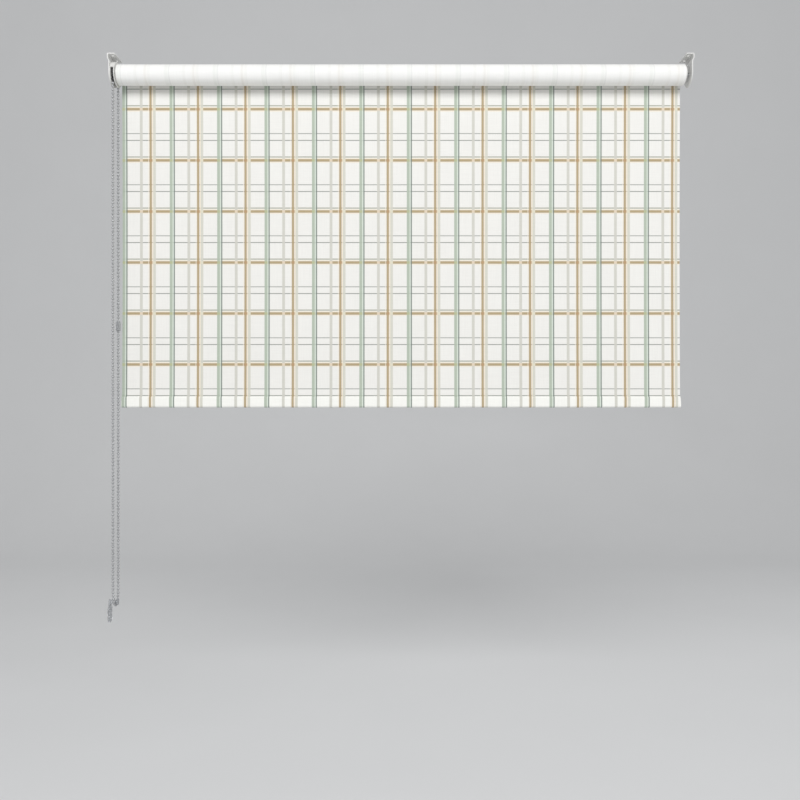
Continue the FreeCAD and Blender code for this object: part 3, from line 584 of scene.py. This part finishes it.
def build_brake_springs(material):
    """Two wrap springs whose tangs stand out on each side of the crown's key."""
    wire, radius, length, reach = 1.0 * MM, 5.8 * MM, 7.59 * MM, 8.0 * MM
    starts, tang_rise = (-482.65 * MM, -472.15 * MM), 1.8 * MM
    phase = math.asin(tang_rise / radius)
    pieces = []
    for start in starts:
        line = coil_line(start, start + length, radius, 6.9, phase)
        first, last = line[0].copy(), line[-1].copy()
        for end in (first, last):
            end[1:] = np.array((0, AXIS_Z)) + (end[1:] - (0, AXIS_Z)) * reach / radius
        path = np.concatenate([[first], line, [last]])
        pieces.append(tube("brake_spring", path, np.full(len(path), wire / 2), 12, material))
    points, faces = [], []
    for piece in pieces:
        faces += [[v + len(points) for v in face.vertices] for face in piece.data.polygons]
        points += [v.co.copy() for v in piece.data.vertices]
        bpy.data.objects.remove(piece)
    return make_piece("wrap_springs", points, faces, [material])


def build_idle_spring(material):
    """The spring behind the idle pin, as long as its CAD node."""
    low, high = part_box("idle_spring")
    wire = 0.8 * MM
    line = coil_line(low.x + wire / 2, high.x - wire / 2, 3.3 * MM, 7, 0)
    return tube("plunger_spring", line, np.full(len(line), wire / 2), 12, material)


# ---------------------------------------------------------------- materials

FINISHES = {
    # The brackets' light rims are partly wear and partly a painted highlight for the lit front
    # edges of the plates.
    "bracket_steel": finish(
        "white_powder_coat", srgb(222, 222, 220), 0.42, 0.8 * MM, 0.06 * MM,
        mottle=0.02, edge_wear_and_highlight=srgb(250, 250, 248), edge_reach=0.6 * MM,
        Coat_Weight=0.15, Coat_Roughness=0.3),
    "guard_plastic": finish(
        "white_moulded_guard", srgb(222, 222, 219), 0.38, 0.35 * MM, 0.03 * MM,
        mottle=0.015, edge_wear_and_highlight=srgb(247, 247, 245)),
    "core_nylon": finish(
        "dark_nylon", srgb(62, 63, 66), 0.5, 0.3 * MM, 0.03 * MM, edge_wear_and_highlight=srgb(96, 97, 100)),
    "spring_steel": finish(
        "spring_wire", srgb(178, 179, 182), 0.28, 0.3 * MM, 0.01 * MM, metal=1.0, lines=(6, 1, 1)),
    "crown_plastic": finish(
        "white_moulded_crown", srgb(220, 220, 217), 0.4, 0.35 * MM, 0.03 * MM,
        mottle=0.015, edge_wear_and_highlight=srgb(246, 246, 244)),
    "tube_aluminium": finish(
        "mill_aluminium_tube", srgb(206, 208, 211), 0.34, 0.25 * MM, 0.015 * MM,
        metal=1.0, lines=(0.01, 1, 1)),
    "strip_plastic": finish(
        "clear_strip", srgb(222, 221, 215), 0.35, 0.5 * MM, 0.02 * MM, lines=(0.05, 1, 1)),
    "bar_aluminium": finish(
        "mill_aluminium_bar", srgb(208, 209, 211), 0.34, 0.25 * MM, 0.015 * MM,
        metal=1.0, lines=(0.01, 1, 1)),
    "cap_plastic": finish(
        "white_moulded_cap", srgb(236, 236, 232), 0.42, 0.35 * MM, 0.03 * MM, mottle=0.02),
    "pin_steel": finish(
        "zinc_plated_pin", srgb(186, 188, 192), 0.3, 0.3 * MM, 0.01 * MM,
        metal=1.0, lines=(0.1, 1, 1), edge_wear_and_highlight=srgb(225, 226, 228)),
    "chain_metal": finish(
        "nickel_beads", srgb(200, 201, 203), 0.42, 0.4 * MM, 0.01 * MM, metal=1.0, mottle=0.12),
    "connector_plastic": finish(
        "clear_grey_clip", srgb(215, 217, 219), 0.25, 0.4 * MM, 0.01 * MM,
        Transmission_Weight=0.6, IOR=1.49),
    "hold_down_plastic": finish(
        "clear_grey_hold_down", srgb(212, 214, 217), 0.18, 0.5 * MM, 0.01 * MM, mottle=0.02,
        Transmission_Weight=0.7, IOR=1.49),
}

for part in frame["record"]["subparts"]:
    if part["material_slot"] in FINISHES:
        node = frame["nodes"][part["node"]]
        node.data.materials.clear()
        node.data.materials.append(FINISHES[part["material_slot"]])


# ---------------------------------------------------------------- pieces

hem = build_hem(None)
face_cloth = cloth("plaid_face", (239, 238, 234), 1.0, hem)
# The hem's cloth is a lighter copy of the face cloth: painted light on the hem.
lit_hem_cloth = cloth("plaid_hem_painted_light", (248, 248, 243), 1.0, hem)
reverse_cloth = cloth("plaid_reverse", (247, 247, 244), 0.22, hem)
roll_cloth = cloth("roll_reverse", (248, 248, 246), 0.11, level=False)
hem.data.materials[0] = lit_hem_cloth

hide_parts("hem_pocket")
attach(hem, "bottom_rail")

sheet = build_sheet(face_cloth, reverse_cloth)
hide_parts("fabric_drop")
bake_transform(sheet)

turns, outer_turn = build_roll(roll_cloth)
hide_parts("fabric_roll")
for piece, flat in ((turns, (0.9646, 0.52)), (outer_turn, (0.9646, 0.1087))):
    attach(piece, "roller")

# The chain inside the guard gets a near-black copy of the bead metal: painted shade for the dark
# slot it runs in.
painted_shade_beads = finish(
    "beads_in_painted_shade", srgb(58, 58, 60), 0.45, 0.4 * MM, 0.01 * MM, metal=0.6, mottle=0.12)
chain, chain_line, chain_in_guard = build_chain(FINISHES["chain_metal"], painted_shade_beads)
for piece, node in ((chain, "bead_chain"), (chain_in_guard, "chain_wrap")):
    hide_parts(node)
    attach(piece, "fixed_frame")

brake = build_brake_springs(FINISHES["spring_steel"])
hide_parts("brake_springs")
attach(brake, "chain_wheel")

plunger = build_idle_spring(FINISHES["spring_steel"])
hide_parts("idle_spring")
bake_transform(plunger)


# ---------------------------------------------------------------- stage, lights and camera

FLOOR_Z = -1.24


def build_backdrop():
    """A pale floor that curves up into a wall behind the blind."""
    wall_y, bend = 3.2, 1.2
    profile = [(-6.0, FLOOR_Z), (wall_y - bend, FLOOR_Z)]
    profile += [
        (wall_y - bend + bend * math.sin(a), FLOOR_Z + bend - bend * math.cos(a))
        for a in np.linspace(0, math.pi / 2, 17)[1:]
    ]
    profile.append((wall_y, 3.5))
    points = [(x, y, z) for x in (-5.0, 5.0) for y, z in profile]
    count = len(profile)
    faces = [(i, i + 1, count + i + 1, count + i) for i in range(count - 1)]
    pale = Shader("pale_backdrop")
    place = pale.node("ShaderNodeTexCoord").outputs["Object"]
    tone = pale.mix(pale.noise(place, 3.0), srgb(221, 222, 223), srgb(225, 226, 227))
    return make_piece("backdrop", points, faces, [pale.surface(Base_Color=tone, Roughness=0.9)])


def area_light(name, place, target, size, power):
    """A white rectangle of light that faces its target."""
    data = bpy.data.lights.new(name, "AREA")
    data.shape = "RECTANGLE"
    data.size, data.size_y = size
    data.energy = power
    light = bpy.data.objects.new(name, data)
    bpy.context.scene.collection.objects.link(light)
    light.location = place
    aim = np.array(target) - np.array(place)
    light.rotation_euler = Vector(aim).to_track_quat("-Z", "Y").to_euler()


build_backdrop()
area_light("key", (-0.45, -3.9, 1.85), (0, 0, -0.3), (3.3, 1.8), 131)
area_light("fill", (2.2, -1.6, 0.2), (0, 0, -0.5), (1.5, 1.5), 8)
area_light("back", (0.6, 1.5, 1.2), (0, 0, -0.3), (1.6, 0.6), 10)

# An even grey light fills the shadows.
world = bpy.data.worlds.new("studio")
bpy.context.scene.world = world
world.use_nodes = True
world.node_tree.nodes["Background"].inputs["Color"].default_value = (1, 1, 1, 1)
world.node_tree.nodes["Background"].inputs["Strength"].default_value = 0.40

# The camera looks straight ahead, from where the photo's does.
camera_data = bpy.data.cameras.new("camera")
camera_data.lens = 38.335
camera_data.sensor_width = 36
camera_data.clip_start = 0.01
camera = bpy.data.objects.new("camera", camera_data)
bpy.context.scene.collection.objects.link(camera)
camera.location = (-0.0012, -1.4555, -0.585)
camera.rotation_euler = (math.pi / 2, 0, 0)
bpy.context.scene.camera = camera
bpy.context.scene.view_settings.view_transform = "Standard"
